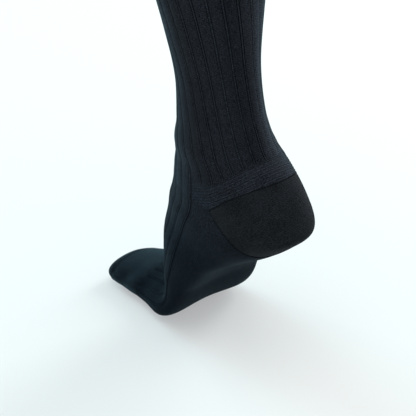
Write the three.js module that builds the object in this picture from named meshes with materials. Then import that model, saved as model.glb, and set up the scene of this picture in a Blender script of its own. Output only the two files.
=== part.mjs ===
// A knee-high compression stocking for a right leg, filled out as it is worn, with the heel raised.
// It is one knitted tube in five knitted parts: top band, leg, heel pocket, foot and toe cap.
// Millimetres, +Z up, toes towards -X, inner side of the foot towards -Y.
import * as THREE from 'three';

// Wall and seams
const wallThickness = 1.1;
const ribHeight = 0.8;
const ridgeDrop = 0.2;
const plainDrop = 0.3;
const bandRise = 0.4;
const seamGap = 0.3;

// Knit all round: wide flat ribs, parted by a thin ridge between two grooves
const ribRepeats = 24;
const instepRepeats = 10;
const wideRibEnd = 0.72;
const grooveStep = 0.07;
const windPerHeight = 0.12 / 360;
const windEnd = 8.4;

// Pose: the heel raised about the ball of the foot, the shin leaning forward over the ankle
const heelRaise = 47;
const shinLean = 14;
const ankleAxis = { u: 66, v: 82 };
const ballAxis = { u: 195, v: 17 };
const ankleBend = { from: 13.0, to: 7.0 };
const ballBend = { from: 18.6, to: 16.0 };

// Knitted parts, as positions along the rows of the section table
const bandEnd = 1.0;
const ribLineBack = 8.05;
const ribLineSide = 9.65;
const ribLineRun = 0.12;
const heelCorner = 10.85;
const heelTopBack = 8.9;
const heelFootBack = 13.0;
const heelCornerTurn = 13 / 48;
const heelCornerBlunt = 0.15;
const toeLine = 19.5;
const toeTip = 23;
const innerToeBack = 0.4;

// Sections across the stocking, drawn for a foot standing flat: u runs forward from the heel
// and v up from the floor. Each section lies between a front point and a back point.
// inner and outer are its half widths and centre its sideways shift. low moves the widest
// place to the back, square fills out the back half, and hollow lifts the middle of the sole.
// spread moves the knit's front wales apart, in turns.
const sectionTable = [
  // name      front u, v  back u, v   inner outer   centre low    square hollow spread
  ['top',       93, 415,    -13, 415,   53, 53,       0,     0,     2,     0,     0],
  ['welt',      93, 378,    -23, 378,   55.5, 55,     0,     0,     2,     0,     0],
  ['calf',      92.5, 335,  -28, 335,   56, 55,       0,     0.05,  2,     0,     0],
  ['calf2',     90.5, 290,  -21.5, 290, 51, 49,       0,     0.05,  2,     0,     0],
  ['shin1',     88, 247,    -10, 247,   46.5, 41,     1,     0,     2,     0,     0],
  ['shin2',     87.5, 205,  1.5, 205,   39.5, 32,     2,     0,     2,     0,     0],
  ['shin3',     87, 165,    10.5, 165,  33.5, 27,     2,     -0.05, 2,     0,     0],
  ['ankle',     91, 133,    11, 125,    34, 28,       1,     -0.1,  2,     0,     0.008],
  ['malleoli',  94.5, 118,  3, 96,      37, 33,       0,     -0.1,  2,     0,     0.015],
  ['heel1',     97, 109,    -6.5, 69,   38, 37,       1,     -0.1,  2,     0,     0.015],
  ['heel2',     101.5, 103, -7, 42,     39, 39,       1,     -0.1,  2.2,   0,     0.01],
  ['heel3',     108, 99,    0.5, 13.5,  40.5, 39.5,   0,     0,     2.3,   0,     0.002],
  ['heel4',     116, 97,    13.5, -3,   39.5, 37.5,   -2,    0.1,   2.4,   0,     -0.008],
  ['heel5',     125, 94.5,  39, -4.5,   39, 37,       -3,    0.2,   2.5,   0,     -0.006],
  ['arch1',     137, 87,    75, 3,      38.5, 38,     -2,    0.3,   2.5,   0,     0.013],
  ['arch2',     150.5, 78,  110, 8,     41.5, 45,     0,     0.35,  2.5,   0.1,   0.048],
  ['arch3',     164, 62,    145, 7,     43, 48,       3,     0.4,   2.5,   0.15,  0.055],
  ['ball1',     178, 48,    174, 5.5,   44.5, 47.5,   7,     0.4,   2.6,   0.2,   0.05],
  ['ball2',     195, 38.5,  195, 1.5,   45.5, 45,     8,     0.4,   2.6,   0.2,   0.045],
  ['toe1',      217, 30.5,  217, 0,     39.5, 40,     6,     0.3,   2.5,   0.1,   0.045],
  ['toe2',      239, 26.5,  239, 0,     36, 34,       2,     0.2,   2.4,   0,     0.045],
  ['toe3',      256.5, 24,  256.5, 0,   32, 28,       -3,    0.1,   2.2,   0,     0.045],
  ['toe4',      266, 22,    267, 2,     25.5, 19.5,   -7,    0,     2,     0,     0.045],
  ['tip',       271, 17,    271, 9.5,   11, 7,        -10.5, 0,     2,     0,     0.045],
].map(([name, ...sizes]) => ({ name, sizes }));

// Fineness of the solids
const halfRingSteps = 48;
const shinRows = 12;
const ankleRows = 3;
const archRows = 5;
const forefootRows = 6;
const archEnd = 15;
const heelRows = 8;
const toeRows = 5;

const toRadians = (degrees) => degrees * Math.PI / 180;
const mix = (from, to, share) => from + (to - from) * share;
const clampShare = (value) => Math.min(1, Math.max(0, value));
const smoothShare = (value) => clampShare(value) ** 2 * (3 - 2 * clampShare(value));

// The section at any place between the rows of the table, by Catmull-Rom curves
function sectionAt(row) {
  const last = sectionTable.length - 1;
  const start = Math.min(last - 1, Math.max(0, Math.floor(row)));
  const t = row - start;
  const near = [-1, 0, 1, 2].map((step) => Math.min(last, Math.max(0, start + step)));
  const [before, from, to, after] = near.map((index) => sectionTable[index].sizes);
  return from.map((value, k) => {
    const slopeFrom = (to[k] - before[k]) / 2;
    const slopeTo = (after[k] - value) / 2;
    const rise = to[k] - value;
    const square = 3 * rise - 2 * slopeFrom - slopeTo;
    const cube = slopeFrom + slopeTo - 2 * rise;
    return value + t * (slopeFrom + t * (square + t * cube));
  });
}

// Turns a point of the standing foot about an axis that runs from side to side
function turned(point, axis, angle) {
  const du = point.u - axis.u;
  const dv = point.v - axis.v;
  return {
    u: axis.u + du * Math.cos(angle) - dv * Math.sin(angle),
    v: axis.v + du * Math.sin(angle) + dv * Math.cos(angle),
  };
}

function posed(point, row) {
  const bend = smoothShare((ankleBend.from - row) / (ankleBend.from - ankleBend.to));
  const lift = smoothShare((ballBend.from - row) / (ballBend.from - ballBend.to));
  const bent = turned(point, ankleAxis, toRadians(heelRaise - shinLean) * bend);
  const raised = turned(bent, ballAxis, -toRadians(heelRaise) * lift);
  return { x: ballAxis.u - raised.u, z: raised.v };
}

// A superellipse keeps the sign of its cosine or sine
const superPower = (value, power) => Math.sign(value) * Math.abs(value) ** power;

// One section as a closed line of points, from the front over the inner side and the back
function ringLine(row) {
  const [frontU, frontV, backU, backV, inner, outer, centre, low, square, hollow] = sectionAt(row);
  const line = [];
  for (let k = 0; k <= 2 * halfRingSteps; k += 1) {
    const angle = Math.PI * k / halfRingSteps;
    const power = Math.cos(angle) >= 0 ? 1 : 2 / square;
    const across = superPower(Math.sin(angle), power);
    let along = superPower(Math.cos(angle), power);
    along -= low * 0.9 * (1 - along ** 2);
    along += Math.cos(angle) < 0 ? hollow * (1 - across ** 2) ** 2 : 0;
    const flat = {
      u: (frontU + backU) / 2 + (frontU - backU) / 2 * along,
      v: (frontV + backV) / 2 + (frontV - backV) / 2 * along,
    };
    const place = posed(flat, row);
    const halfWidth = Math.sin(angle) >= 0 ? inner : outer;
    line.push(new THREE.Vector3(place.x, centre - across * halfWidth, place.z));
  }
  return line;
}

// Lengths along one half of a ring, as shares of a half turn
function halfTurnShares(line, first) {
  const lengths = [0];
  for (let k = 1; k <= halfRingSteps; k += 1) {
    lengths.push(lengths[k - 1] + line[first + k].distanceTo(line[first + k - 1]));
  }
  return lengths.map((length) => length / lengths[halfRingSteps] / 2);
}

// The stocking's outer form: turn 0 is the front, 0.25 the inner side, 0.5 the back
function formPoint(row, turn) {
  const line = ringLine(row);
  const around = turn - Math.floor(turn);
  const first = around < 0.5 ? 0 : halfRingSteps;
  const shares = halfTurnShares(line, first);
  const share = around - (around < 0.5 ? 0 : 0.5);
  let k = 1;
  while (k < halfRingSteps && shares[k] < share) k += 1;
  const between = (share - shares[k - 1]) / (shares[k] - shares[k - 1]);
  return line[first + k - 1].clone().lerp(line[first + k], between);
}

// A point of the wall, moved inwards from the outer form by a depth
function wallPoint(row, turn, depth) {
  const rowStep = 0.02;
  const turnStep = 0.004;
  const lower = Math.min(toeTip, row + rowStep);
  const down = formPoint(lower, turn).sub(formPoint(lower - 2 * rowStep, turn));
  const along = formPoint(row, turn + turnStep).sub(formPoint(row, turn - turnStep));
  const outward = down.cross(along).normalize();
  return formPoint(row, turn).addScaledVector(outward, -depth);
}

// Rows that a length of cloth takes, and the share of a row in a seam's gap
function rowsForLength(row, turn, length) {
  const step = 0.05;
  return length * step / formPoint(row + step, turn).distanceTo(formPoint(row, turn));
}

// The ribs wind slowly round the leg and run straight along the foot
function turnOf(wale, row) {
  const height = row < windEnd ? sectionAt(row)[1] - sectionAt(windEnd)[1] : 0;
  const spread = sectionAt(row)[10];
  return wale - windPerHeight * height + spread * Math.sin(2 * Math.PI * wale);
}

// How far round from the back a wale lies: 0 at the back, 1 at the heel's corners and in front
const awayFromBack = (wale) => clampShare(Math.abs(wale - 0.5) / (0.5 - heelCornerTurn));
const heelTopRow = (wale) => mix(heelTopBack, heelCorner, awayFromBack(wale) ** 2);
const heelFootRow = (wale) => mix(heelFootBack, heelCorner, awayFromBack(wale) ** 2.7);
const ribLineRow = (wale) => mix(ribLineBack, ribLineSide, awayFromBack(wale) ** 2);

// Wales of one ring: five to a ribbed repeat, two to a plain one
const instepSide = instepRepeats / 2;
const onInstep = (repeat) => repeat < instepSide || repeat >= ribRepeats - instepSide;
const ribProfile = [
  { share: 0, depth: 0 },
  { share: wideRibEnd, depth: 0 },
  { share: wideRibEnd + grooveStep, depth: ribHeight },
  { share: wideRibEnd + 2 * grooveStep, depth: ridgeDrop },
  { share: wideRibEnd + 3 * grooveStep, depth: ribHeight },
];
const plainProfile = [{ share: 0, depth: plainDrop }, { share: 0.5, depth: plainDrop }];
const innerDepth = wallThickness + ribHeight;

function walesAround(profileOf) {
  const wales = [];
  for (let repeat = 0; repeat < ribRepeats; repeat += 1) {
    for (const { share, depth } of profileOf(repeat)) {
      wales.push({ wale: (repeat + share) / ribRepeats, depth });
    }
  }
  return wales;
}

const ribbedWales = walesAround(() => ribProfile);
const footWales = walesAround((repeat) => (onInstep(repeat) ? ribProfile : plainProfile));
const plainWales = walesAround(() => plainProfile);
const bandWales = plainWales.map(({ wale }) => ({ wale, depth: -bandRise }));
const innerWales = plainWales.map(({ wale }) => ({ wale, depth: innerDepth }));
const innerLegWales = innerWales.filter((_, k) => k % 2 === 0);

// A ring of the wall: rowOf gives the row for each wale
function wallRing(rowOf, wales) {
  return wales.map(({ wale, depth }) => {
    const row = rowOf(wale);
    return { wale, point: wallPoint(row, turnOf(wale, row), depth) };
  });
}

// Triangles between two rings that may have different numbers of wales
function zipRings(upper, lower, triangles) {
  const waleAt = (ring, k) => (k < ring.length ? ring[k].wale : 1);
  const pointAt = (ring, k) => ring[k % ring.length].point;
  let i = 0;
  let j = 0;
  while (i < upper.length || j < lower.length) {
    const upperNext = i < upper.length ? waleAt(upper, i + 1) : 2;
    const lowerNext = j < lower.length ? waleAt(lower, j + 1) : 2;
    if (upperNext <= lowerNext) {
      triangles.push(pointAt(upper, i), pointAt(lower, j), pointAt(upper, i + 1));
      i += 1;
    } else {
      triangles.push(pointAt(upper, i), pointAt(lower, j), pointAt(lower, j + 1));
      j += 1;
    }
  }
}

// A fan of triangles from a ring to one point that closes it
function closeRing(ring, point, pointIsLower, triangles) {
  ring.forEach((place, k) => {
    const next = ring[(k + 1) % ring.length];
    if (pointIsLower) triangles.push(place.point, point, next.point);
    else triangles.push(point, place.point, next.point);
  });
}

function zipChain(rings, triangles) {
  for (let k = 1; k < rings.length; k += 1) zipRings(rings[k - 1], rings[k], triangles);
}

function geometryOf(triangles) {
  const geometry = new THREE.BufferGeometry().setFromPoints(triangles);
  geometry.computeVertexNormals();
  return geometry;
}

// A tube of the wall: outer rings down, inner rings back up, closed at both rims
function tubeGeometry(outerRings, innerRings) {
  const triangles = [];
  const chain = [...outerRings, ...[...innerRings].reverse()];
  zipChain([...chain, chain[0]], triangles);
  return geometryOf(triangles);
}

const evenShares = (count) => Array.from({ length: count + 1 }, (_, k) => k / count);

// Rows of the leg: down the shin, over the ankle to the end of the ribs, then to the heel seam
function legRowsOf() {
  const shin = evenShares(shinRows).map((share) => (wale) => {
    const start = bandEnd + rowsForLength(bandEnd, wale, seamGap / 2);
    return mix(start, ankleBend.to, share);
  });
  const ankle = evenShares(ankleRows).slice(1);
  const overAnkle = ankle.map((share) => (wale) => mix(ankleBend.to, ribLineRow(wale), share));
  const seam = (wale) => {
    const row = heelTopRow(wale);
    return row - rowsForLength(row, wale, seamGap / 2);
  };
  const ribEnd = (wale) => ribLineRow(wale) + ribLineRun;
  const between = (wale) => mix(ribEnd(wale), seam(wale), 0.5);
  const plain = [ribEnd, between, seam];
  return { ribbed: [...shin, ...overAnkle], plain };
}

function legGeometry() {
  const { ribbed, plain } = legRowsOf();
  const outer = [
    ...ribbed.map((rowOf) => wallRing(rowOf, ribbedWales)),
    ...plain.map((rowOf) => wallRing(rowOf, footWales)),
  ];
  const shinInner = ribbed.map((rowOf) => wallRing(rowOf, innerLegWales));
  const inner = [...shinInner, ...plain.map((rowOf) => wallRing(rowOf, innerWales))];
  return tubeGeometry(outer, inner);
}

function bandGeometry() {
  const rows = [0, 0.5, 1].map((share) => (wale) => {
    const end = bandEnd - rowsForLength(bandEnd, wale, seamGap / 2);
    return mix(0, end, share);
  });
  const outer = rows.map((rowOf) => wallRing(rowOf, bandWales));
  return tubeGeometry(outer, rows.map((rowOf) => wallRing(rowOf, innerWales)));
}

function footGeometry() {
  const arch = evenShares(archRows).map((share) => (wale) => {
    const row = heelFootRow(wale);
    return mix(row + rowsForLength(row, wale, seamGap / 2), archEnd, share);
  });
  const forefoot = evenShares(forefootRows).slice(1).map((share) => (wale) => {
    const end = toeLine - rowsForLength(toeLine, wale, seamGap / 2);
    return mix(archEnd, end, share);
  });
  const rows = [...arch, ...forefoot];
  const outer = rows.map((rowOf) => wallRing(rowOf, footWales));
  return tubeGeometry(outer, rows.map((rowOf) => wallRing(rowOf, innerWales)));
}

function toeGeometry() {
  const rowsTo = (end) => evenShares(toeRows).map((share) => (wale) => {
    const start = toeLine + rowsForLength(toeLine, wale, seamGap / 2);
    return mix(start, end, share);
  });
  const outer = rowsTo(toeTip).map((rowOf) => wallRing(rowOf, plainWales));
  const inner = rowsTo(toeTip - innerToeBack).map((rowOf) => wallRing(rowOf, innerWales));
  const middleOf = (ring) => ring.reduce((sum, place) => sum.add(place.point), new THREE.Vector3())
    .divideScalar(ring.length);
  const outerEnd = outer[toeRows];
  const innerEnd = inner[toeRows];
  const triangles = [];
  closeRing(innerEnd, middleOf(innerEnd), false, triangles);
  zipChain([...[...inner].reverse(), ...outer], triangles);
  closeRing(outerEnd, middleOf(outerEnd), true, triangles);
  return geometryOf(triangles);
}

// The heel pocket lies between the leg's lower edge and the foot's upper edge. It is lofted
// from one corner round the back to the other, through closed sections of its wall.
function heelSection(wale) {
  const topRow = heelTopRow(wale);
  const footRow = heelFootRow(wale);
  const from = topRow + rowsForLength(topRow, turnOf(wale, topRow), seamGap / 2);
  const to = footRow - rowsForLength(footRow, turnOf(wale, footRow), seamGap / 2);
  const rows = evenShares(heelRows).map((share) => mix(from, to, share));
  return {
    outer: rows.map((row) => wallPoint(row, turnOf(wale, row), plainDrop)),
    inner: rows.map((row) => wallPoint(row, turnOf(wale, row), innerDepth)),
  };
}

// The pocket's blunt corner, a short way along from the point where its two edges meet
function heelCornerSection(cornerWale, nextSection) {
  const corner = heelSection(cornerWale);
  const towardsNext = (side) => corner[side].map((point, k) => (
    point.lerp(nextSection[side][k], heelCornerBlunt)
  ));
  return { outer: towardsNext('outer'), inner: towardsNext('inner') };
}

function heelGeometry() {
  const firstWale = Math.round(heelCornerTurn * 2 * ribRepeats) + 1;
  const lastWale = 2 * ribRepeats - firstWale;
  const sections = [];
  for (let k = firstWale; k <= lastWale; k += 1) sections.push(heelSection(k / 2 / ribRepeats));
  sections.unshift(heelCornerSection(heelCornerTurn, sections[0]));
  sections.push(heelCornerSection(1 - heelCornerTurn, sections[sections.length - 1]));
  const triangles = [];
  const quad = (a, b, c, d) => triangles.push(a, b, c, a, c, d);
  for (let k = 1; k < sections.length; k += 1) {
    const before = sections[k - 1];
    const after = sections[k];
    for (let r = 0; r < heelRows; r += 1) {
      quad(before.outer[r], before.outer[r + 1], after.outer[r + 1], after.outer[r]);
      quad(before.inner[r + 1], before.inner[r], after.inner[r], after.inner[r + 1]);
    }
    quad(before.inner[0], before.outer[0], after.outer[0], after.inner[0]);
    quad(before.outer[heelRows], before.inner[heelRows], after.inner[heelRows], after.outer[heelRows]);
  }
  const first = sections[0];
  const last = sections[sections.length - 1];
  for (let r = 0; r < heelRows; r += 1) {
    quad(first.outer[r + 1], first.outer[r], first.inner[r], first.inner[r + 1]);
    quad(last.outer[r], last.outer[r + 1], last.inner[r + 1], last.inner[r]);
  }
  return geometryOf(triangles);
}

// Colours of the knit: charcoal navy, a little darker where it is denser
function knitPart(name, geometry, color, roughness) {
  const material = new THREE.MeshStandardMaterial({ color, roughness, metalness: 0 });
  const mesh = new THREE.Mesh(geometry, material);
  mesh.name = name;
  return mesh;
}

// The origin is the middle of the top band, where the leg holds the stocking up
const bandMiddle = formPoint(bandEnd / 2, 0).lerp(formPoint(bandEnd / 2, 0.5), 0.5);
bandMiddle.y = 0;

const group = new THREE.Group();
group.add(knitPart('top_band', bandGeometry(), '#232a33', 0.85));
group.add(knitPart('leg', legGeometry(), '#28303a', 0.75));
group.add(knitPart('heel_pocket', heelGeometry(), '#1f262f', 0.8));
group.add(knitPart('foot', footGeometry(), '#28303a', 0.75));
group.add(knitPart('toe_cap', toeGeometry(), '#1f262f', 0.8));
group.children.forEach((mesh) => mesh.position.copy(bandMiddle).negate());

export default group;
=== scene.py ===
import math
import bpy
import numpy as np
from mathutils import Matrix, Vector


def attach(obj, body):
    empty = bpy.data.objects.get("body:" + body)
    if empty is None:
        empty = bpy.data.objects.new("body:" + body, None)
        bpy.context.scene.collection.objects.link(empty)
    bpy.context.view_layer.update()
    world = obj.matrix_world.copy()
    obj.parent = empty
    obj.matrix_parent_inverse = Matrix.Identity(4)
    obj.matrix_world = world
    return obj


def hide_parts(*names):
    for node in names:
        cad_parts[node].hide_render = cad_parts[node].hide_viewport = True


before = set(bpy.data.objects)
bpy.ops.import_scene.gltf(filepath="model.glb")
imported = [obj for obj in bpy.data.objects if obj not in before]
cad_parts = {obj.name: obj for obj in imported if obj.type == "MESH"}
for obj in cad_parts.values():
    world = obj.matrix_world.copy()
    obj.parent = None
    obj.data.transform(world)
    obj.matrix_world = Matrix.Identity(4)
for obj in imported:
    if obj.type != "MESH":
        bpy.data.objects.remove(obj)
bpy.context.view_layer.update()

mm = 0.001
collection = bpy.context.scene.collection

# Sizes of the whole stocking, in millimetres and degrees, as in the CAD model but for the two marked
wall = {
    "inside": 1.9,           # depth of the plain inner face under the outer form
    "plain": 0.3,            # depth of plain knit, just below the tops of the ribs
    "bandRise": 0.4,         # the doubled band stands this much proud
    "valley": 0.35,          # the knit dips this far where two parts join
    "valleyFade": 0.4,       # and by this share of it with each row away from there
}
ribs = {
    "repeats": 24,
    "instepRepeats": 10,
    "wideEnd": 0.67,         # the wide flat rib takes this share of a repeat; 0.72 in CAD
    "grooveStep": 0.09,      # 0.07 in CAD
    "windPerHeight": 0.12 / 360,
    "windEnd": 8.4,
    "courseTilt": 110,       # courses beside the instep turn level by this much a turn
}
pose = {
    "heelRaise": 47,
    "shinLean": 14,
    "ankle": (66, 82),
    "ball": (195, 17),
    "ankleBend": (13.0, 7.0),
    "ballBend": (18.6, 16.0),
}
parts = {                    # places along the rows of the section table
    "bandEnd": 1.0,
    "ribLineBack": 8.05,
    "ribLineSide": 9.65,
    "heelCorner": 10.85,
    "heelTopBack": 8.9,
    "heelFootBack": 13.0,
    "heelCornerTurn": 13 / 48,
    "toeLine": 19.5,
    "toeTip": 23,
}

fades = {                    # rows over which the ribs and the plain courses fade out
    "ribsAtHeel": 0.1,
    "ribsAtToe": 0.08,
    "courses": 0.12,
}
tip = {                      # the toe's closed end
    "rings": 6,
    "height": 2.2,
    "lift": 0.15,            # its middle points up by this much
    "inset": 0.35,           # the inner face stops this many rows short of it
}

# front u, v | back u, v | inner and outer half width | centre | low | square | hollow | spread of the wales
sectionTable = [
    (93, 415, -13, 415, 53, 53, 0, 0, 2, 0, 0),                 # top
    (93, 378, -23, 378, 55.5, 55, 0, 0, 2, 0, 0),               # welt
    (92.5, 335, -28, 335, 56, 55, 0, 0.05, 2, 0, 0),            # calf
    (90.5, 290, -21.5, 290, 51, 49, 0, 0.05, 2, 0, 0),
    (88, 247, -10, 247, 46.5, 41, 1, 0, 2, 0, 0),               # shin
    (87.5, 205, 1.5, 205, 39.5, 32, 2, 0, 2, 0, 0),
    (87, 165, 10.5, 165, 33.5, 27, 2, -0.05, 2, 0, 0),
    (91, 133, 11, 125, 34, 28, 1, -0.1, 2, 0, 0.008),           # ankle
    (94.5, 118, 3, 96, 37, 33, 0, -0.1, 2, 0, 0.015),
    (97, 109, -6.5, 69, 38, 37, 1, -0.1, 2, 0, 0.015),          # heel
    (101.5, 103, -7, 42, 39, 39, 1, -0.1, 2.2, 0, 0.01),
    (108, 99, 0.5, 13.5, 40.5, 39.5, 0, 0, 2.3, 0, 0.002),
    (116, 97, 13.5, -3, 39.5, 37.5, -2, 0.1, 2.4, 0, -0.008),
    (125, 94.5, 39, -4.5, 39, 37, -3, 0.2, 2.5, 0, -0.006),
    (137, 87, 75, 3, 38.5, 38, -2, 0.3, 2.5, 0, 0.013),         # arch
    (150.5, 78, 110, 8, 41.5, 45, 0, 0.35, 2.5, 0.1, 0.048),
    (164, 62, 145, 7, 43, 48, 3, 0.4, 2.5, 0.15, 0.055),
    (178, 48, 174, 5.5, 44.5, 47.5, 7, 0.4, 2.6, 0.2, 0.05),    # ball
    (195, 38.5, 195, 1.5, 45.5, 45, 8, 0.4, 2.6, 0.2, 0.045),
    (217, 30.5, 217, 0, 39.5, 40, 6, 0.3, 2.5, 0.1, 0.045),     # toes
    (239, 26.5, 239, 0, 36, 34, 2, 0.2, 2.4, 0, 0.045),
    (256.5, 24, 256.5, 0, 32, 28, -3, 0.1, 2.2, 0, 0.045),
    (266, 22, 267, 2, 25.5, 19.5, -7, 0, 2, 0, 0.045),
    (271, 17, 271, 9.5, 11, 7, -10.5, 0, 2, 0, 0.045),          # tip
]
sections = np.array(sectionTable, float)
lastRow = len(sections) - 1


def mix(start, end, share):
    return start + (end - start) * share


def smoothShare(value):
    value = np.clip(value, 0, 1)
    return value * value * (3 - 2 * value)


def sectionsAt(rows):  # Catmull-Rom curves through the columns of the table
    start = np.clip(np.floor(rows).astype(int), 0, lastRow - 1)
    t = (rows - start)[:, None]
    before, here = sections[np.clip(start - 1, 0, lastRow)], sections[start]
    there, after = sections[start + 1], sections[np.clip(start + 2, 0, lastRow)]
    slopeHere, slopeThere = (there - before) / 2, (after - here) / 2
    square = 3 * (there - here) - 2 * slopeHere - slopeThere
    cube = slopeHere + slopeThere - 2 * (there - here)
    return here + t * (slopeHere + t * (square + t * cube))


def turned(u, v, axis, angle):
    du, dv = u - axis[0], v - axis[1]
    cos, sin = np.cos(angle), np.sin(angle)
    return axis[0] + du * cos - dv * sin, axis[1] + du * sin + dv * cos


def ringLines(rows):  # closed sections, front over the inner side and the back, posed, in mm
    halfSteps = 160
    angle = np.linspace(0, 2 * np.pi, 2 * halfSteps + 1)[None, :]
    sizes = sectionsAt(rows).T[:10, :, None]
    frontU, frontV, backU, backV, inner, outer, centre, low, square, hollow = sizes
    power = np.where(np.cos(angle) >= 0, 1, 2 / square)
    across = np.sign(np.sin(angle)) * np.abs(np.sin(angle)) ** power
    along = np.sign(np.cos(angle)) * np.abs(np.cos(angle)) ** power
    along = along - low * 0.9 * (1 - along ** 2)
    along = along + np.where(np.cos(angle) < 0, hollow * (1 - across ** 2) ** 2, 0)
    u = (frontU + backU) / 2 + (frontU - backU) / 2 * along
    v = (frontV + backV) / 2 + (frontV - backV) / 2 * along
    y = centre - across * np.where(np.sin(angle) >= 0, inner, outer)
    bendFrom, bendTo = pose["ankleBend"]
    liftFrom, liftTo = pose["ballBend"]
    bend = smoothShare((bendFrom - rows) / (bendFrom - bendTo))[:, None]
    lift = smoothShare((liftFrom - rows) / (liftFrom - liftTo))[:, None]
    u, v = turned(u, v, pose["ankle"], math.radians(pose["heelRaise"] - pose["shinLean"]) * bend)
    u, v = turned(u, v, pose["ball"], -math.radians(pose["heelRaise"]) * lift)
    return np.stack([pose["ball"][0] - u, y, v], axis=2), halfSteps


def buildForm(rowStep=0.02, turnSteps=384):  # the outer form on an even grid of rows and turns
    rows = np.arange(0, lastRow + rowStep / 2, rowStep)
    lines, halfSteps = ringLines(rows)
    lengths = np.linalg.norm(np.diff(lines, axis=1), axis=2)
    grid = np.zeros((len(rows), turnSteps, 3))
    turns = np.arange(turnSteps) / turnSteps
    for k, line in enumerate(lines):
        inner, outer = np.cumsum(lengths[k, :halfSteps]), np.cumsum(lengths[k, halfSteps:])
        shares = np.concatenate([[0], inner / inner[-1] / 2, 0.5 + outer / outer[-1] / 2])
        for axis in range(3):
            grid[k, :, axis] = np.interp(turns, shares, line[:, axis])
    return grid, rowStep


formGrid, formRowStep = buildForm()
formTurns = formGrid.shape[1]


def rawForm(rows, turns):
    r = np.clip(rows / formRowStep, 0, formGrid.shape[0] - 1.001)
    c = np.mod(turns, 1) * formTurns
    r0, c0 = np.floor(r).astype(int), np.floor(c).astype(int) % formTurns
    c1 = (c0 + 1) % formTurns
    a, b = (r - r0)[..., None], (c - np.floor(c))[..., None]
    upper = formGrid[r0, c0] * (1 - b) + formGrid[r0, c1] * b
    return upper * (1 - a) + (formGrid[r0 + 1, c0] * (1 - b) + formGrid[r0 + 1, c1] * b) * a


middleRow = np.array([parts["bandEnd"] / 2])
bandMiddle = (rawForm(middleRow, np.array([0.0]))[0] + rawForm(middleRow, np.array([0.5]))[0]) / 2
bandMiddle[1] = 0


def formPoint(rows, turns):  # metres, from the middle of the band
    return (rawForm(rows, turns) - bandMiddle) * mm


def formNormal(rows, turns):
    down = formPoint(np.minimum(rows + 0.06, lastRow), turns) - formPoint(rows - 0.06, turns)
    along = formPoint(rows, turns + 0.006) - formPoint(rows, turns - 0.006)
    normal = np.cross(down, along)
    return normal / np.linalg.norm(normal, axis=-1, keepdims=True)


# Soft creases: place, half sizes in rows and turns, depth in mm, slant
creases = [
    # row, turn, rowSize, turnSize, depth, slant
    (6.55, 0.98, 0.16, 0.10, 0.25, 1.2),       # across the front of the ankle
    (7.35, 0.03, 0.18, 0.13, 0.35, -0.8),
    (8.30, 0.99, 0.24, 0.15, 0.45, 0.6),
    (9.20, 0.04, 0.24, 0.12, 0.35, -1.0),
    (10.10, 0.97, 0.25, 0.11, 0.3, 0.9),
    (6.90, 0.50, 0.14, 0.09, 0.4, 0.8),        # behind the ankle, over the tendon
    (7.70, 0.53, 0.16, 0.10, 0.5, -0.6),
    (16.75, 0.02, 0.22, 0.12, 0.7, 0.5),       # on top, where the toes bend
    (17.45, 0.97, 0.22, 0.15, 1.0, -0.5),
    (18.10, 0.05, 0.20, 0.13, 0.8, 0.8),
    (19.15, 0.21, 0.30, 0.05, 0.9, 3.0),       # beside the ball, on the inner side
    (20.30, 0.225, 0.32, 0.06, 1.2, 2.2),
    (18.75, 0.80, 0.28, 0.06, 0.8, -2.5),      # and on the outer side
    (20.05, 0.79, 0.30, 0.05, 0.9, -2.0),
    (15.10, 0.56, 0.35, 0.07, 0.5, 1.5),       # under the arch
]


def creaseDepth(rows, turns):
    depth = np.zeros(np.broadcast(rows, turns).shape)
    for row, turn, rowSize, turnSize, deep, slant in creases:
        side = np.mod(turns - turn + 0.5, 1) - 0.5
        across = (rows - row - slant * side) / rowSize
        depth = depth + deep * np.exp(-across ** 2) * np.exp(-(side / turnSize) ** 2)
    return depth


# Lines where the knitted parts meet
def awayFromBack(wale):
    return np.clip(np.abs(wale - 0.5) / (0.5 - parts["heelCornerTurn"]), 0, 1)


def heelTopRow(wale):
    return mix(parts["heelTopBack"], parts["heelCorner"], awayFromBack(wale) ** 2)


def heelFootRow(wale):
    return mix(parts["heelFootBack"], parts["heelCorner"], awayFromBack(wale) ** 2.7)


def ribLineRow(wale):
    return mix(parts["ribLineBack"], parts["ribLineSide"], awayFromBack(wale) ** 2)


def turnOf(wale, rows):  # the ribs wind round the leg and run straight along the foot
    here = sectionsAt(np.ravel(rows))
    height = here[:, 1].reshape(np.shape(rows)) - sectionsAt(np.array([ribs["windEnd"]]))[0, 1]
    wound = np.where(rows < ribs["windEnd"], ribs["windPerHeight"] * height, 0)
    spreadOut = here[:, 10].reshape(np.shape(rows))
    return wale - wound + spreadOut * np.sin(2 * np.pi * wale)


# Columns of a fine mesh, closer together over the grooves
ribShares = [0, 0.12, 0.25, 0.38, 0.51, 0.62, 0.69, 0.727, 0.744, 0.76, 0.776, 0.8, 0.85, 0.9, 0.924, 0.94,
             0.956, 0.975]
plainShares = [0, 0.125, 0.25, 0.375, 0.5, 0.625, 0.75, 0.875]


def onInstep(repeat):
    half = ribs["instepRepeats"] / 2
    return (repeat < half) | (repeat >= ribs["repeats"] - half)


def columns(isRibbed):
    wales = []
    for repeat in range(ribs["repeats"]):
        shares = ribShares if isRibbed(repeat) else plainShares
        wales += [(repeat + share) / ribs["repeats"] for share in shares]
    return np.array(wales)


def domeRings(ring, centre, forward, height, count):  # closes the toe's tip with a low dome
    rings = []
    for k in range(1, count):
        angle = math.pi / 2 * k / count
        rings.append(centre + (ring - centre) * math.cos(angle) + forward * height * math.sin(angle))
    return rings


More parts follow.
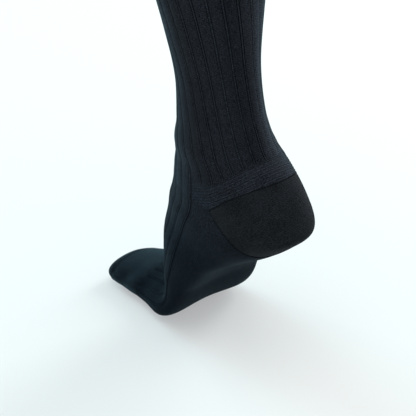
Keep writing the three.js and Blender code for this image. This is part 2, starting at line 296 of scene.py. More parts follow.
def knitShell(name, rowLines, wales, closed=True, outerDepth=wall["plain"], innerEvery=4, dome=0,
              zeroLine=0, valleys=(1, 1)):
    # outer rings run down the piece, inner rings run back up, so one chain of quads closes the wall
    rings, ringNormals, ringFacts = [], [], []
    along = np.zeros(len(wales))
    outerAlong = []
    for k, rows in enumerate(rowLines):
        turns = turnOf(wales, rows)
        normals = formNormal(rows, turns)
        depth = outerDepth + creaseDepth(rows, turns)
        dip = wall["valleyFade"] ** k * valleys[0]
        dip = dip + wall["valleyFade"] ** (len(rowLines) - 1 - k) * valleys[1]
        depth = depth + wall["valley"] * dip
        points = formPoint(rows, turns) - normals * depth[:, None] * mm
        if k:
            along = along + np.linalg.norm(points - rings[-1], axis=1)
        rings.append(points)
        ringNormals.append(normals)
        ringFacts.append([rows, along.copy(), 1.0])
        outerAlong.append(along.copy())
    zero = outerAlong[zeroLine].copy()
    for k in range(len(rowLines)):
        outerAlong[k] = outerAlong[k] - zero
        ringFacts[k][1] = outerAlong[k]
    pole = None
    if dome:
        middle, forward = rings[-1].mean(axis=0), np.array([-1.0, 0, tip["lift"]])
        for points in domeRings(rings[-1], middle, forward, dome * mm, tip["rings"]):
            rings.append(points)
            ringNormals.append(ringNormals[-1])
            ringFacts.append((rowLines[-1], outerAlong[-1] + dome * mm, 0.0))
        pole = middle + forward * dome * mm
    innerFrom = len(rings)
    picked = sorted(set(range(len(rowLines) - 1, -1, -innerEvery)) | {0}, reverse=True)
    for k in picked:
        rows = np.minimum(rowLines[k], parts["toeTip"] - tip["inset"])
        turns = turnOf(wales, rows)
        normals = formNormal(rows, turns)
        rings.append(formPoint(rows, turns) - normals * wall["inside"] * mm)
        ringNormals.append(normals)
        ringFacts.append((rows, outerAlong[k], 0.0))
    count, total = len(wales), len(rings)
    points = np.concatenate(rings)
    u = np.append(wales, 1.0)
    faces, uvs = [], []
    steps = count if closed else count - 1
    openAt = innerFrom - 1 if pole is not None else total
    chain = [(k, k + 1) for k in range(total - 1) if k != openAt] + [(total - 1, 0)]
    for upper, lower in chain:
        vUpper, vLower = ringFacts[upper][1], ringFacts[lower][1]
        for j in range(steps):
            n = (j + 1) % count
            faces.append((upper * count + j, lower * count + j, lower * count + n, upper * count + n))
            uvs += [(u[j], vUpper[j]), (u[j], vLower[j]), (u[j + 1], vLower[n]), (u[j + 1], vUpper[n])]
    if pole is not None:  # fans close the outer tip and the inner one
        outerPole, innerPole = len(points), len(points) + 1
        points = np.vstack([points, pole, rings[innerFrom].mean(axis=0)])
        for ring, apex, lower in ((innerFrom - 1, outerPole, True), (innerFrom, innerPole, False)):
            for j in range(count):
                n = (j + 1) % count
                a, b = ring * count + j, ring * count + n
                faces.append((a, apex, b) if lower else (apex, a, b))
                v = ringFacts[ring][1][j]
                uvs += [(u[j], v), (u[j], v), (u[j + 1], v)]
    if not closed:  # side walls at both ends of an open patch
        outerCount = len(rowLines)
        for column, first in ((0, True), (count - 1, False)):
            for k in range(outerCount - 1):
                a, b = k * count + column, (k + 1) * count + column
                c, d = (total - 1 - k) * count + column, (total - 2 - k) * count + column
                faces.append((a, c, d, b) if first else (a, b, d, c))
                uvs += [(u[column], outerAlong[k][column])] * 4
    mesh = bpy.data.meshes.new(name)
    mesh.from_pydata(points.tolist(), [], faces)
    layer = mesh.uv_layers.new(name="knit")
    layer.data.foreach_set("uv", np.array(uvs, np.float32).ravel())
    extra = 2 if pole is not None else 0

    def store(attribute, values, kind="FLOAT"):
        field, width = ("vector", 3) if kind == "FLOAT_VECTOR" else ("value", 1)
        atPoles = np.zeros((extra, width), np.float32)
        filled = np.concatenate([np.asarray(values, np.float32).reshape(total * count, width), atPoles])
        mesh.attributes.new(attribute, kind, "POINT").data.foreach_set(field, filled.ravel())

    rowsAll = np.array([np.broadcast_to(facts[0], wales.shape) for facts in ringFacts])
    walesAll = np.broadcast_to(wales, rowsAll.shape)
    store("wale", walesAll)
    store("row", rowsAll)
    store("along", np.array([facts[1] for facts in ringFacts]))
    beyond = np.clip(parts["heelCornerTurn"] - np.minimum(walesAll, 1 - walesAll), 0, 1)
    store("course", np.array([facts[1] for facts in ringFacts]) - beyond * ribs["courseTilt"] * mm)
    store("outside", np.array([np.full(count, facts[2]) for facts in ringFacts]))
    store("outward", np.array(ringNormals), "FLOAT_VECTOR")
    plain = np.zeros(rowsAll.shape)
    store("ribbed", ribbedMask(rowsAll, walesAll) if name in ("leg_knit", "foot_knit") else plain)
    store("coursed", coursedMask(rowsAll, walesAll) if name == "leg_knit" else plain)
    piece = bpy.data.objects.new(name, mesh)
    collection.objects.link(piece)
    return piece


def repeatOf(wales):
    return np.floor(wales * ribs["repeats"] + 1e-6)


def ribbedMask(rows, wales):
    above = smoothShare((ribLineRow(wales) - rows) / fades["ribsAtHeel"])
    instep = onInstep(repeatOf(wales)) * smoothShare((parts["toeLine"] - rows) / fades["ribsAtToe"])
    return np.maximum(above, instep)


def coursedMask(rows, wales):  # the plain courses between the ribs and the heel pocket
    below = smoothShare((rows - ribLineRow(wales)) / fades["courses"])
    return below * (1 - onInstep(repeatOf(wales)))


# Node trees
def addNode(tree, kind, settings=None, values=None, links=None):
    node = tree.nodes.new(kind)
    for name, value in (settings or {}).items():
        setattr(node, name, value)
    for name, value in (values or {}).items():
        node.inputs[name].default_value = value
    for name, socket in (links or {}).items():
        tree.links.new(socket, node.inputs[name])
    return node


def math2(tree, operation, a, b=None):  # a Math node; a and b are sockets or numbers
    node = tree.nodes.new("ShaderNodeMath")
    node.operation = operation
    for k, value in enumerate((a, b)):
        if value is None:
            continue
        if isinstance(value, (int, float)):
            node.inputs[k].default_value = value
        else:
            tree.links.new(value, node.inputs[k])
    return node.outputs[0]


def times(tree, a, b):
    return math2(tree, "MULTIPLY", a, b)


def plus(tree, a, b):
    return math2(tree, "ADD", a, b)


def minus(tree, a, b):
    return math2(tree, "SUBTRACT", a, b)


def fade(tree, value, width):  # 1 where value is 0, down to 0 at width
    node = tree.nodes.new("ShaderNodeMapRange")
    node.interpolation_type = "SMOOTHSTEP"
    tree.links.new(value, node.inputs["Value"])
    if isinstance(width, (int, float)):
        node.inputs["From Max"].default_value = width
    else:
        tree.links.new(width, node.inputs["From Max"])
    node.inputs["To Min"].default_value = 1
    node.inputs["To Max"].default_value = 0
    return node.outputs["Result"]


def attribute(tree, name, kind="FLOAT"):
    node = addNode(tree, "GeometryNodeInputNamedAttribute", {"data_type": kind}, {"Name": name})
    return node.outputs["Attribute"]


def newTree(name, kind, inputs, outputs):
    tree = bpy.data.node_groups.new(name, kind)
    for label, socketType, default in inputs:
        socket = tree.interface.new_socket(label, in_out="INPUT", socket_type=socketType)
        if default is not None:
            socket.default_value = default
    for label, socketType in outputs:
        tree.interface.new_socket(label, in_out="OUTPUT", socket_type=socketType)
    return tree, tree.nodes.new("NodeGroupInput"), tree.nodes.new("NodeGroupOutput")


ribSizes = {                 # millimetres, shares of a repeat, and strengths of painted shade and highlight
    "Repeats": float(ribs["repeats"]), "Rib Rise": wall["plain"], "Groove Depth": 0.75,
    "Groove Half Width": 0.032, "Wide End": ribs["wideEnd"], "Groove Step": ribs["grooveStep"],
    "Ridge Drop": -0.12, "Rib Crown": 0.12, "Strong Repeat": 11.0, "Strong Gain": 0.3,
    "Strong Shade": 0.7, "Ridge Light": 0.75, "Painted Shade Band": 0.28, "Painted Light Band": 0.7,
    "Course Pitch": 2.3, "Course Depth": 0.13,
}


def reliefTree():  # raises the ribs and courses of the knit along the wall's outward direction
    floats = [(label, "NodeSocketFloat", value) for label, value in ribSizes.items()]
    tree, start, end = newTree("knitRelief", "GeometryNodeTree", [
        ("Geometry", "NodeSocketGeometry", None), *floats, ("Material", "NodeSocketMaterial", None),
    ], [("Geometry", "NodeSocketGeometry")])
    size = start.outputs
    share = math2(tree, "FRACT", times(tree, attribute(tree, "wale"), size["Repeats"]))
    firstGroove = plus(tree, size["Wide End"], size["Groove Step"])
    ridge = plus(tree, firstGroove, size["Groove Step"])
    secondGroove = plus(tree, ridge, size["Groove Step"])

    def near(centre, width):
        return fade(tree, math2(tree, "ABSOLUTE", minus(tree, share, centre)), width)

    halfWidth = size["Groove Half Width"]
    groove = plus(tree, near(firstGroove, halfWidth), near(secondGroove, halfWidth))
    repeat = math2(tree, "FLOOR", times(tree, attribute(tree, "wale"), size["Repeats"]))
    strong = fade(tree, math2(tree, "ABSOLUTE", minus(tree, repeat, size["Strong Repeat"])), 1.0)
    gain = plus(tree, times(tree, strong, size["Strong Gain"]), 1.0)
    sunk = times(tree, times(tree, groove, gain), size["Groove Depth"])
    sunk = plus(tree, sunk, times(tree, near(ridge, size["Groove Step"]), size["Ridge Drop"]))
    halfRib = times(tree, size["Wide End"], 0.5)
    offCentre = math2(tree, "DIVIDE", minus(tree, share, halfRib), halfRib)
    crown = times(tree, math2(tree, "MINIMUM", times(tree, offCentre, offCentre), 1.0), size["Rib Crown"])
    relief = minus(tree, minus(tree, size["Rib Rise"], sunk), crown)
    relief = times(tree, relief, attribute(tree, "ribbed"))
    pitch = times(tree, size["Course Pitch"], mm / (2 * math.pi))
    wave = math2(tree, "COSINE", math2(tree, "DIVIDE", attribute(tree, "course"), pitch))
    courses = times(tree, times(tree, wave, size["Course Depth"]), attribute(tree, "coursed"))
    height = times(tree, plus(tree, relief, courses), attribute(tree, "outside"))
    outward = attribute(tree, "outward", "FLOAT_VECTOR")
    offset = addNode(tree, "ShaderNodeVectorMath", {"operation": "SCALE"},
                     links={0: outward, "Scale": times(tree, height, mm)})
    moved = addNode(tree, "GeometryNodeSetPosition",
                    links={"Geometry": size["Geometry"], "Offset": offset.outputs[0]})
    # painted shade in the grooves, deeper at the strong repeat, and a painted highlight on the ridge, kept
    # as groove for the colour
    ridgeHalfWidth = 0.05
    lit = times(tree, near(ridge, ridgeHalfWidth), size["Ridge Light"])
    shadow = times(tree, groove, plus(tree, times(tree, strong, size["Strong Shade"]), 1.0))
    shadow = minus(tree, shadow, lit)
    line = plus(tree, size["Strong Repeat"], firstGroove)
    offLine = minus(tree, times(tree, attribute(tree, "wale"), size["Repeats"]), line)
    shadeBandAt, shadeBandWidth = 0.7, 1.3       # repeats before the strong line, a painted shade band
    lightBandAt, lightBandWidth = 1.7, 1.7       # and after it, a painted light band
    shadeBand = fade(tree, math2(tree, "ABSOLUTE", plus(tree, offLine, shadeBandAt)), shadeBandWidth)
    lightBand = fade(tree, math2(tree, "ABSOLUTE", minus(tree, offLine, lightBandAt)), lightBandWidth)
    shadow = plus(tree, shadow, times(tree, shadeBand, size["Painted Shade Band"]))
    shadow = minus(tree, shadow, times(tree, lightBand, size["Painted Light Band"]))
    shadow = times(tree, times(tree, shadow, attribute(tree, "ribbed")), attribute(tree, "outside"))
    kept = addNode(tree, "GeometryNodeStoreNamedAttribute", {"data_type": "FLOAT", "domain": "POINT"},
                   {"Name": "groove"}, {"Geometry": moved.outputs[0], "Value": shadow})
    real = addNode(tree, "GeometryNodeRealizeInstances", links={"Geometry": kept.outputs[0]})
    painted = addNode(tree, "GeometryNodeSetMaterial",
                      links={"Geometry": real.outputs[0], "Material": size["Material"]})
    tree.links.new(painted.outputs[0], end.inputs[0])
    return tree


def stitchTree():  # a row of small loops along a line
    tree, start, end = newTree("seamStitches", "GeometryNodeTree", [
        ("Geometry", "NodeSocketGeometry", None), ("Stitch Pitch", "NodeSocketFloat", 0.0016),
        ("Stitch Length", "NodeSocketFloat", 0.0019), ("Thread Radius", "NodeSocketFloat", 0.0003),
        ("Slant", "NodeSocketFloat", 0.5), ("Wander", "NodeSocketFloat", 0.0001),
        ("Seed", "NodeSocketInt", 7), ("Material", "NodeSocketMaterial", None),
    ], [("Geometry", "NodeSocketGeometry")])
    size = start.outputs
    line = addNode(tree, "GeometryNodeMeshToCurve", links={"Mesh": size["Geometry"]})
    even = addNode(tree, "GeometryNodeResampleCurve", links={"Curve": line.outputs[0]})
    even.mode = "LENGTH"
    tree.links.new(size["Stitch Pitch"], even.inputs["Length"])
    tangent = tree.nodes.new("GeometryNodeInputTangent")
    facing = addNode(tree, "FunctionNodeAlignRotationToVector", {"axis": "Z"},
                     links={"Vector": attribute(tree, "outward", "FLOAT_VECTOR")})
    turnedTo = addNode(tree, "FunctionNodeAlignRotationToVector", {"axis": "X", "pivot_axis": "Z"},
                       links={"Rotation": facing.outputs[0], "Vector": tangent.outputs[0]})
    spin = addNode(tree, "FunctionNodeEulerToRotation")
    angles = addNode(tree, "ShaderNodeCombineXYZ", links={"Z": size["Slant"]})
    tree.links.new(angles.outputs[0], spin.inputs[0])
    placed = addNode(tree, "FunctionNodeRotateRotation", {"rotation_space": "LOCAL"},
                     links={"Rotation": turnedTo.outputs[0], "Rotate By": spin.outputs[0]})
    thread = addNode(tree, "GeometryNodeMeshUVSphere", values={"Segments": 8, "Rings": 5, "Radius": 1.0})
    jitter = addNode(tree, "FunctionNodeRandomValue", {"data_type": "FLOAT_VECTOR"},
                     links={"Seed": size["Seed"]})
    lowest = times(tree, size["Wander"], -1.0)
    low = addNode(tree, "ShaderNodeCombineXYZ", links={"X": lowest, "Y": lowest, "Z": lowest})
    high = addNode(tree, "ShaderNodeCombineXYZ", links={k: size["Wander"] for k in ("X", "Y", "Z")})
    tree.links.new(low.outputs[0], jitter.inputs[0])
    tree.links.new(high.outputs[0], jitter.inputs[1])
    loops = addNode(tree, "GeometryNodeInstanceOnPoints", links={
        "Points": even.outputs[0], "Instance": thread.outputs[0], "Rotation": placed.outputs[0]})
    scale = addNode(tree, "ShaderNodeCombineXYZ", links={
        "X": times(tree, size["Stitch Length"], 0.5),
        "Y": size["Thread Radius"],
        "Z": size["Thread Radius"],
    })
    tree.links.new(scale.outputs[0], loops.inputs["Scale"])
    shifted = addNode(tree, "GeometryNodeTranslateInstances",
                      links={"Instances": loops.outputs[0], "Translation": jitter.outputs[0]})
    real = addNode(tree, "GeometryNodeRealizeInstances", links={"Geometry": shifted.outputs[0]})
    painted = addNode(tree, "GeometryNodeSetMaterial",
                      links={"Geometry": real.outputs[0], "Material": size["Material"]})
    tree.links.new(painted.outputs[0], end.inputs[0])
    return tree


def grown(piece, tree, values):  # runs a Geometry Nodes tree on a piece and keeps the result as its mesh
    modifier = piece.modifiers.new(tree.name, "NODES")
    modifier.node_group = tree
    for item in tree.interface.items_tree:
        if item.item_type == "SOCKET" and item.in_out == "INPUT" and item.name in values:
            modifier[item.identifier] = values[item.name]
    evaluated = piece.evaluated_get(bpy.context.evaluated_depsgraph_get())
    mesh = bpy.data.meshes.new_from_object(evaluated)
    piece.modifiers.remove(modifier)
    mesh.name = piece.name
    piece.data = mesh
    return piece


def smoothed(piece, degrees=40):
    mesh = piece.data
    mesh.polygons.foreach_set("use_smooth", np.ones(len(mesh.polygons), bool))
    mesh.set_sharp_from_angle(angle=math.radians(degrees))
    return piece


# Shader groups
def knitGroup():  # rows of V-shaped stitches on the knit's own map, as height and shade
    tree, start, end = newTree("knitStitches", "ShaderNodeTree", [
        ("Wales", "NodeSocketFloat", 144.0), ("Courses", "NodeSocketFloat", 700.0),
        ("Contrast", "NodeSocketFloat", 0.8),
    ], [("Height", "NodeSocketFloat"), ("Shade", "NodeSocketFloat")])
    size = start.outputs
    uv = addNode(tree, "ShaderNodeUVMap", {"uv_map": "knit"})
    place = addNode(tree, "ShaderNodeSeparateXYZ", links={0: uv.outputs[0]})
    across = math2(tree, "FRACT", times(tree, place.outputs["X"], size["Wales"]))
    side = times(tree, math2(tree, "ABSOLUTE", minus(tree, across, 0.5)), 2.0)
    course = plus(tree, times(tree, place.outputs["Y"], size["Courses"]), times(tree, side, 0.55))
    loop = math2(tree, "ABSOLUTE", math2(tree, "SINE", times(tree, course, math.pi)))
    leg = math2(tree, "SINE", times(tree, side, math.pi))
    leg = math2(tree, "POWER", math2(tree, "MAXIMUM", leg, 0.0), 0.5)
    height = times(tree, loop, leg)
    tree.links.new(height, end.inputs["Height"])
    base = minus(tree, 1.0, times(tree, size["Contrast"], 0.55))
    tree.links.new(plus(tree, times(tree, height, size["Contrast"]), base), end.inputs["Shade"])
    return tree


def mottleGroup():  # uneven dye, and short flecks that lie along the courses
    tree, start, end = newTree("knitMottle", "ShaderNodeTree", [
        ("Patch Size", "NodeSocketFloat", 45.0), ("Patch Strength", "NodeSocketFloat", 0.25),
        ("Fleck Strength", "NodeSocketFloat", 0.35), ("Flecks Round", "NodeSocketFloat", 240.0),
        ("Flecks Along", "NodeSocketFloat", 1300.0),
    ], [("Factor", "NodeSocketFloat"), ("Fleck", "NodeSocketFloat")])
    size = start.outputs
    place = addNode(tree, "ShaderNodeTexCoord").outputs["Object"]
    patch = addNode(tree, "ShaderNodeTexNoise", {"noise_dimensions": "3D"},
                    {"Detail": 3.0, "Roughness": 0.6}, {"Vector": place, "Scale": size["Patch Size"]})
    knitMap = addNode(tree, "ShaderNodeUVMap", {"uv_map": "knit"})
    uv = addNode(tree, "ShaderNodeSeparateXYZ", links={0: knitMap.outputs[0]}).outputs
    angle = times(tree, uv["X"], 2 * math.pi)
    radius = math2(tree, "DIVIDE", size["Flecks Round"], 2 * math.pi)
    around = addNode(tree, "ShaderNodeCombineXYZ", links={
        "X": times(tree, math2(tree, "COSINE", angle), radius),
        "Y": times(tree, math2(tree, "SINE", angle), radius),
        "Z": times(tree, uv["Y"], size["Flecks Along"]),
    })
    fleck = addNode(tree, "ShaderNodeTexNoise", {"noise_dimensions": "3D"},
                    {"Scale": 1.0, "Detail": 2.0, "Roughness": 0.65}, {"Vector": around.outputs[0]})
    patchPart = times(tree, minus(tree, patch.outputs[0], 0.5), times(tree, size["Patch Strength"], 2.0))
    fleckPart = times(tree, minus(tree, fleck.outputs[0], 0.5), times(tree, size["Fleck Strength"], 2.0))
    factor = math2(tree, "MAXIMUM", plus(tree, plus(tree, patchPart, fleckPart), 1.0), 0.15)
    tree.links.new(factor, end.inputs["Factor"])
    tree.links.new(fleck.outputs[0], end.inputs["Fleck"])
    return tree


def toneGroup():  # paints shade into the grooves and a highlight onto the ridges, and shades the plain courses; down the foot the colour turns darker and teal, painted shade and teal light, and the painted groove shade fades
    tree, start, end = newTree("knitTone", "ShaderNodeTree", [
        ("Colour", "NodeSocketVector", None), ("Painted Low Colour", "NodeSocketVector", None),
        ("Shade", "NodeSocketFloat", 1.0), ("Painted Shading Strength", "NodeSocketFloat", 0.55),
        ("Course Pitch", "NodeSocketFloat", 2.3), ("Course Contrast", "NodeSocketFloat", 0.26),
        ("Course Light", "NodeSocketFloat", 0.3), ("Low From", "NodeSocketFloat", -0.27),
        ("Low To", "NodeSocketFloat", -0.39), ("Low Soften", "NodeSocketFloat", 0.65),
    ], [("Colour", "NodeSocketVector")])
    size = start.outputs
    groove = addNode(tree, "ShaderNodeAttribute", {"attribute_name": "groove"}).outputs["Fac"]
    coursed = addNode(tree, "ShaderNodeAttribute", {"attribute_name": "coursed"}).outputs["Fac"]
    course = addNode(tree, "ShaderNodeAttribute", {"attribute_name": "course"}).outputs["Fac"]
    place = addNode(tree, "ShaderNodeTexCoord").outputs["Object"]
    height = addNode(tree, "ShaderNodeSeparateXYZ", links={0: place}).outputs["Z"]
    low = addNode(tree, "ShaderNodeMapRange", {"interpolation_type": "SMOOTHSTEP"}, None,
                  {"Value": height, "From Min": size["Low From"], "From Max": size["Low To"]})
    kept = minus(tree, 1.0, times(tree, low.outputs["Result"], size["Low Soften"]))
    # painted shade in the grooves and painted highlight on the ridges and beside the strong line, softer
    # down the foot
    groove = times(tree, groove, times(tree, size["Painted Shading Strength"], kept))
    shade = times(tree, size["Shade"], minus(tree, 1.0, groove))
    wave = math2(tree, "DIVIDE", times(tree, course, 2 * math.pi / mm), size["Course Pitch"])
    wave = times(tree, math2(tree, "COSINE", wave), size["Course Contrast"])
    lines = times(tree, plus(tree, wave, size["Course Light"]), coursed)
    shade = times(tree, shade, plus(tree, lines, 1.0))
    # painted shade and teal light: down the foot the colour turns darker and teal
    tone = addNode(tree, "ShaderNodeMix", {"data_type": "VECTOR"}, None,
                   {0: low.outputs["Result"], 4: size["Colour"], 5: size["Painted Low Colour"]})
    colour = addNode(tree, "ShaderNodeVectorMath", {"operation": "SCALE"}, None,
                     {0: tone.outputs[1], "Scale": shade})
    tree.links.new(colour.outputs[0], end.inputs["Colour"])
    return tree


knitStitches = knitGroup()
knitMottle = mottleGroup()
knitTone = toneGroup()


def knitMaterial(name, look):
    material = bpy.data.materials.new(name)
    material.use_nodes = True
    tree = material.node_tree
    shader = tree.nodes["Principled BSDF"]
    stitches = addNode(tree, "ShaderNodeGroup", {"node_tree": knitStitches}, {
        "Wales": look["wales"], "Courses": look["courses"], "Contrast": look["contrast"]})
    mottle = addNode(tree, "ShaderNodeGroup", {"node_tree": knitMottle}, {
        "Patch Strength": look["patches"], "Fleck Strength": look["flecks"]})
    tone = addNode(tree, "ShaderNodeGroup", {"node_tree": knitTone}, {
        "Colour": look["colour"], "Painted Low Colour": look["paintedLowColour"], "Painted Shading Strength": look["paintedShadingStrength"],
        "Course Pitch": look["coursePitch"], "Course Contrast": look["courseContrast"],
        "Course Light": look["courseLight"],
    }, {"Shade": times(tree, stitches.outputs["Shade"], mottle.outputs["Factor"])})
    tree.links.new(tone.outputs["Colour"], shader.inputs["Base Color"])
    rough = plus(tree, times(tree, mottle.outputs["Fleck"], 0.2), look["roughness"] - 0.1)
    tree.links.new(rough, shader.inputs["Roughness"])
    bumpHeight = plus(tree, stitches.outputs["Height"], times(tree, mottle.outputs["Fleck"], 0.5))
    bump = addNode(tree, "ShaderNodeBump", None, {"Strength": look["bump"], "Distance": 0.0003},
                   {"Height": bumpHeight})
    tree.links.new(bump.outputs[0], shader.inputs["Normal"])
    shader.inputs["Specular IOR Level"].default_value = look["specular"]
    shader.inputs["Sheen Weight"].default_value = look["sheen"]
    shader.inputs["Sheen Roughness"].default_value = look["sheenRoughness"]
    shader.inputs["Sheen Tint"].default_value = (*look["sheenTint"], 1)
    return material


ribLook = {
    "colour": (0.0152, 0.0180, 0.0232),
    "paintedLowColour": (0.0048, 0.0086, 0.0128),       # painted shade and teal light, down the foot
    "wales": 144, "courses": 700, "contrast": 1.0, "patches": 0.2, "flecks": 2.2,
    "paintedShadingStrength": 0.88, "roughness": 0.75, "bump": 0.6, "specular": 0.02,
    "sheen": 0.14, "sheenRoughness": 0.24, "sheenTint": (0.46, 0.82, 1.0),
    "coursePitch": 2.3, "courseContrast": 0.26, "courseLight": 0.3,
}
footLook = {**ribLook, "contrast": 0.7, "patches": 0.3, "sheen": 0.075}
heelLook = {
    **ribLook, "colour": (0.0135, 0.0158, 0.0185), "paintedLowColour": (0.0128, 0.0152, 0.0176),
    "wales": 168, "courses": 800, "contrast": 0.8, "patches": 0.5, "flecks": 1.5,
    "roughness": 0.8, "bump": 0.8, "sheen": 0.05, "sheenTint": (0.75, 0.88, 1.0),
}
toeLook = {
    **footLook, "paintedLowColour": (0.0075, 0.0130, 0.0180), "wales": 168, "courses": 800, "flecks": 6.0,
    "bump": 0.7, "sheen": 0.3, "sheenTint": (0.5, 0.85, 1.0),
}
bandLook = {**ribLook, "colour": (0.0115, 0.0140, 0.0180), "wales": 192, "courses": 800, "bump": 0.8}
threadLook = {
    **heelLook, "colour": (0.006, 0.0075, 0.0095), "paintedLowColour": (0.006, 0.0075, 0.0095), "flecks": 0.2,
}
legFabric = knitMaterial("ribbed knit", ribLook)
footFabric = knitMaterial("ribbed knit, foot", footLook)
heelFabric = knitMaterial("dense heel knit", heelLook)
toeFabric = knitMaterial("dense toe knit", toeLook)
bandFabric = knitMaterial("band knit", bandLook)
threadFabric = knitMaterial("linking thread", threadLook)
print("materials ready")

# The knitted parts
relief = reliefTree()
stitches = stitchTree()


def spread(start, end, count, first=True):
    return [mix(start, end, k / count) for k in range(0 if first else 1, count + 1)]


def knitted(name, node, slot, fabric, rowLines, wales, **settings):
    piece = knitShell(name, rowLines, wales, **settings)
    grown(piece, relief, {**ribSizes, "Material": fabric})
    smoothed(piece)
    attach(piece, "root")
    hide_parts(node)
    print(name, "has", len(piece.data.polygons), "faces")
    return piece


cut = {                      # how the pieces meet and how finely they are meshed
    "halfGap": 0.004,        # half the gap between two pieces, in rows
    "fadeTurn": 0.012,       # the gap closes over this much of a turn beyond the heel's corners
    "legUpper": 110,
    "legLower": 16,
    "plainCourses": 44,
    "footUpper": 44,
    "footLower": 44,
    "heelRows": 56,
    "toeRows": 52,
    "bandRows": 26,
    "straightRow": 7.0,      # rows of mesh lie level down to here, then follow the ribs' lower line
    "instepRow": 15.0,       # and from here on again
}
halfGap = cut["halfGap"]


def byHeel(wales):  # 1 beside the heel pocket, 0 in front, where the knit runs on
    inside = 0.5 - np.abs(wales - 0.5) - parts["heelCornerTurn"]
    return smoothShare(inside / cut["fadeTurn"] + 1)


legWales = columns(lambda repeat: True)
levelRow = cut["straightRow"] + 0 * legWales
legLines = spread(parts["bandEnd"] + halfGap + 0 * legWales, levelRow, cut["legUpper"])
legLines += spread(levelRow, ribLineRow(legWales), cut["legLower"], False)
legEnd = heelTopRow(legWales) - halfGap * byHeel(legWales)
legLines += spread(ribLineRow(legWales), legEnd, cut["plainCourses"], False)
leg = knitted("leg_knit", "leg", "ribbed_knit", legFabric, legLines, legWales,
              zeroLine=cut["legUpper"] + cut["legLower"], valleys=(1, byHeel(legWales)))

footWales = columns(onInstep)
footStart = heelFootRow(footWales) + halfGap * byHeel(footWales)
levelRow = cut["instepRow"] + 0 * footWales
footLines = spread(footStart, levelRow, cut["footUpper"])
footLines += spread(levelRow, parts["toeLine"] - halfGap + 0 * footWales, cut["footLower"], False)
foot = knitted("foot_knit", "foot", "ribbed_knit", footFabric, footLines, footWales,
               valleys=(byHeel(footWales), 1))

heelEnds = parts["heelCornerTurn"] + 0.0012
plainWales = columns(lambda repeat: False)
between = plainWales[(plainWales > heelEnds + 0.002) & (plainWales < 1 - heelEnds - 0.002)]
heelWales = np.concatenate([[heelEnds, heelEnds + 0.001], between, [1 - heelEnds - 0.001, 1 - heelEnds]])
heelLines = spread(heelTopRow(heelWales) + halfGap, heelFootRow(heelWales) - halfGap, cut["heelRows"])
heel = knitted("heel_knit", "heel_pocket", "heel_knit", heelFabric, heelLines, heelWales,
               closed=False, innerEvery=1)

toeStart = parts["toeLine"] + halfGap + 0 * plainWales
toeLines = spread(toeStart, parts["toeTip"] + 0 * plainWales, cut["toeRows"])
toe = knitted("toe_knit", "toe_cap", "toe_knit", toeFabric, toeLines, plainWales, dome=tip["height"])

bandLines = spread(0 * plainWales, parts["bandEnd"] - halfGap + 0 * plainWales, cut["bandRows"])
band = knitted("band_knit", "top_band", "band_knit", bandFabric, bandLines, plainWales,
               outerDepth=-wall["bandRise"])

# Seams: the joins of the heel pocket, the linking of the toe and the hem of the band
seams = {
    "heelPitch": 1.5, "heelLength": 1.7, "heelThread": 0.26, "heelSlant": 0.35,
    "toePitch": 1.7, "toeLength": 2.1, "toeThread": 0.36, "toeSlant": 0.9,
    "hemPitch": 2.6, "hemLength": 2.3, "hemThread": 0.28, "hemSlant": 0.0,
    "toeRow": 21.15, "toeBow": 0.35, "hemRise": 0.09,     # places in rows
}


def seamLine(name, lines, depth):  # lines are (rows, wales) pairs; their points carry the outward direction
    points, normals, edges = [], [], []
    for rows, wales in lines:
        turns = turnOf(wales, rows)
        outward = formNormal(rows, turns)
        edges += [(len(points) + k, len(points) + k + 1) for k in range(len(wales) - 1)]
        points += list(formPoint(rows, turns) - outward * (depth + creaseDepth(rows, turns))[:, None] * mm)
        normals += list(outward)
    mesh = bpy.data.meshes.new(name)
    mesh.from_pydata([tuple(point) for point in points], edges, [])
    outwardLayer = mesh.attributes.new("outward", "FLOAT_VECTOR", "POINT")
    outwardLayer.data.foreach_set("vector", np.array(normals, np.float32).ravel())
    piece = bpy.data.objects.new(name, mesh)
    collection.objects.link(piece)
    return piece


def seam(name, lines, depth, kind):
    piece = seamLine(name, lines, depth)
    grown(piece, stitches, {
        "Stitch Pitch": seams[kind + "Pitch"] * mm, "Stitch Length": seams[kind + "Length"] * mm,
        "Thread Radius": seams[kind + "Thread"] * mm, "Slant": seams[kind + "Slant"], "Wander": 0.05 * mm,
        "Seed": 7, "Material": threadFabric,
    })
    smoothed(piece, 180)
    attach(piece, "root")
    print(name, "has", len(piece.data.polygons), "faces")
    return piece


heelArc = np.linspace(heelEnds, 1 - heelEnds, 300)
heelJoin = seam("heel_join", [(heelTopRow(heelArc), heelArc), (heelFootRow(heelArc), heelArc)],
                wall["plain"] + 0.05, "heel")
toeArc = np.linspace(-0.25, 0.25, 160)
toeRows = seams["toeRow"] + seams["toeBow"] * np.cos(toeArc * 2 * np.pi)
toeJoin = seam("toe_linking", [(toeRows, toeArc)], wall["plain"] - 0.05, "toe")
hemArc = np.linspace(0, 1, 400)
hemRows = parts["bandEnd"] - seams["hemRise"] + 0 * hemArc
hemJoin = seam("band_hem", [(hemRows, hemArc)], -wall["bandRise"] - 0.05, "hem")


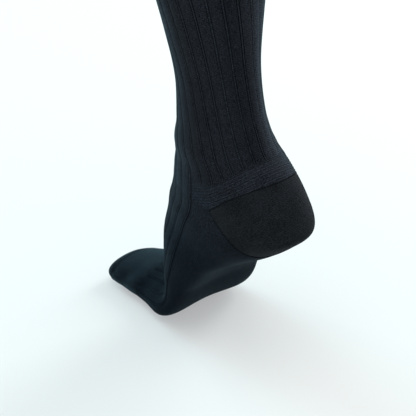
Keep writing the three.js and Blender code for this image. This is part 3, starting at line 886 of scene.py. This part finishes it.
# Floor, light and camera
studio = {
    "floorColour": (0.48, 0.50, 0.475), "floorGlow": (0.357, 0.36, 0.37), "floorHalf": 9.0,
    "floorGap": 0.3, "floorRoughness": 0.9, "floorSpecular": 0.1,
    "worldColour": (0.92, 0.96, 0.99), "worldStrength": 0.74,
    "azimuth": 51.0, "elevation": 31.5, "distance": 1.5, "lens": 165.0, "sensor": 36,
    "target": (51.5, -22.0, 129.5),       # mm, from the floor under the ball of the foot
}
lowest = min(vertex.co.z for piece in (foot, toe) for vertex in piece.data.vertices)
floorLevel = lowest - studio["floorGap"] * mm
half = studio["floorHalf"]
floorMesh = bpy.data.meshes.new("floor")
floorCorners = [(x * half, y * half, floorLevel) for x, y in ((-1, -1), (1, -1), (1, 1), (-1, 1))]
floorMesh.from_pydata(floorCorners, [], [(0, 1, 2, 3)])
floor = bpy.data.objects.new("floor", floorMesh)
collection.objects.link(floor)
floorPaint = bpy.data.materials.new("floor paint")
floorPaint.use_nodes = True
paint = floorPaint.node_tree.nodes["Principled BSDF"]
paint.inputs["Base Color"].default_value = (*studio["floorColour"], 1)
paint.inputs["Roughness"].default_value = studio["floorRoughness"]
paint.inputs["Specular IOR Level"].default_value = studio["floorSpecular"]
paint.inputs["Emission Color"].default_value = (*studio["floorGlow"], 1)
paint.inputs["Emission Strength"].default_value = 1
floorMesh.materials.append(floorPaint)

scene = bpy.context.scene
scene.view_settings.view_transform = "Standard"
world = bpy.data.worlds.new("studio")
world.use_nodes = True
world.node_tree.nodes["Background"].inputs["Color"].default_value = (*studio["worldColour"], 1)
world.node_tree.nodes["Background"].inputs["Strength"].default_value = studio["worldStrength"]
scene.world = world

azimuth, elevation = math.radians(studio["azimuth"]), math.radians(studio["elevation"])
target = (Vector(studio["target"]) - Vector(bandMiddle)) * mm
back = Vector((math.sin(azimuth), -math.cos(azimuth), 0)) * math.cos(elevation)
back.z = math.sin(elevation)
right = Vector((math.cos(azimuth), math.sin(azimuth), 0))
away = Vector((-math.sin(azimuth), math.cos(azimuth), 0))
up = Vector((0, 0, 1))


softBoxes = {                # metres right, behind and above | size | watts | colour | spread in degrees
    "overhead softbox": (0, -0.3, 1.9, (1.4, 1.4), 8, (1.0, 0.99, 0.96), 180),
    "right softbox": (1.2, 1.15, 0.6, (0.6, 1.5), 25, (0.93, 0.97, 1.0), 180),
    "left softbox": (-1.1, 1.2, 0.5, (0.9, 1.2), 10, (0.45, 0.85, 1.0), 120),
}


def softBox(name, place, size, power, colour, spreadAngle):
    light = bpy.data.lights.new(name, "AREA")
    light.shape = "RECTANGLE"
    light.size, light.size_y = size
    light.energy = power
    light.color = colour
    light.spread = math.radians(spreadAngle)
    box = bpy.data.objects.new(name, light)
    box.location = place
    box.rotation_euler = (target - place).to_track_quat("-Z", "Y").to_euler()
    collection.objects.link(box)
    return box


for name, (rightward, backward, upward, size, power, colour, spreadAngle) in softBoxes.items():
    place = target + right * rightward + away * backward + up * upward
    softBox(name, place, size, power, colour, spreadAngle)

cameraData = bpy.data.cameras.new("camera")
cameraData.lens = studio["lens"]
cameraData.sensor_width = studio["sensor"]
cameraData.clip_end = 60
camera = bpy.data.objects.new("camera", cameraData)
camera.location = target + back * studio["distance"]
camera.rotation_euler = (-back).to_track_quat("-Z", "Y").to_euler()
collection.objects.link(camera)
scene.camera = camera
print("studio ready")
